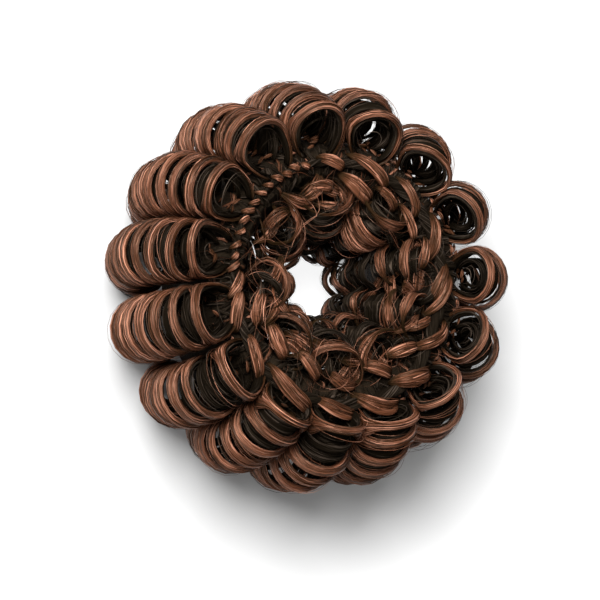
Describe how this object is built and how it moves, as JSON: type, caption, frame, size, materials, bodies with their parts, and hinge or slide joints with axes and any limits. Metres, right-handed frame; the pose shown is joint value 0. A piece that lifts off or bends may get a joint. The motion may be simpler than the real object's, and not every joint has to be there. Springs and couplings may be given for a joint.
{
  "type": "hair tie",
  "caption": "Elastic hair tie covered all round with rows of curled two-tone synthetic hair, with a twisted hair rope on its front.",
  "frame": {"origin": "centre of the ring on the surface that it lies on", "axes": "+Z along the ring's axis, up from the back that it lies on to the front with the rope; +X to the right in a view of the front"},
  "size_m": [0.0899, 0.0892, 0.0481],
  "materials": {
    "elastic": "matt covered elastic",
    "dark_hair": "dark synthetic hair, wound and sewn",
    "curled_hair": "glossy brown and black synthetic hair in curled locks",
    "roped_hair": "glossy brown and black synthetic hair, twisted"
  },
  "bodies": {
    "root": {"elastic_band": "elastic", "core": "dark_hair", "front_rope": "roped_hair", "outer_curls_01": "curled_hair", "outer_curls_02": "curled_hair", "outer_curls_03": "curled_hair", "outer_curls_04": "curled_hair", "outer_curls_05": "curled_hair", "outer_curls_06": "curled_hair", "outer_curls_07": "curled_hair", "outer_curls_08": "curled_hair", "outer_curls_09": "curled_hair", "outer_curls_10": "curled_hair", "outer_curls_11": "curled_hair", "outer_curls_12": "curled_hair", "outer_curls_13": "curled_hair", "outer_curls_14": "curled_hair", "outer_curls_15": "curled_hair", "inner_curls_1": "curled_hair", "inner_curls_2": "curled_hair", "inner_curls_3": "curled_hair", "inner_curls_4": "curled_hair", "inner_curls_5": "curled_hair", "inner_curls_6": "curled_hair", "inner_curls_7": "curled_hair", "inner_curls_8": "curled_hair", "inner_curls_9": "curled_hair"}
  },
  "joints": []
}
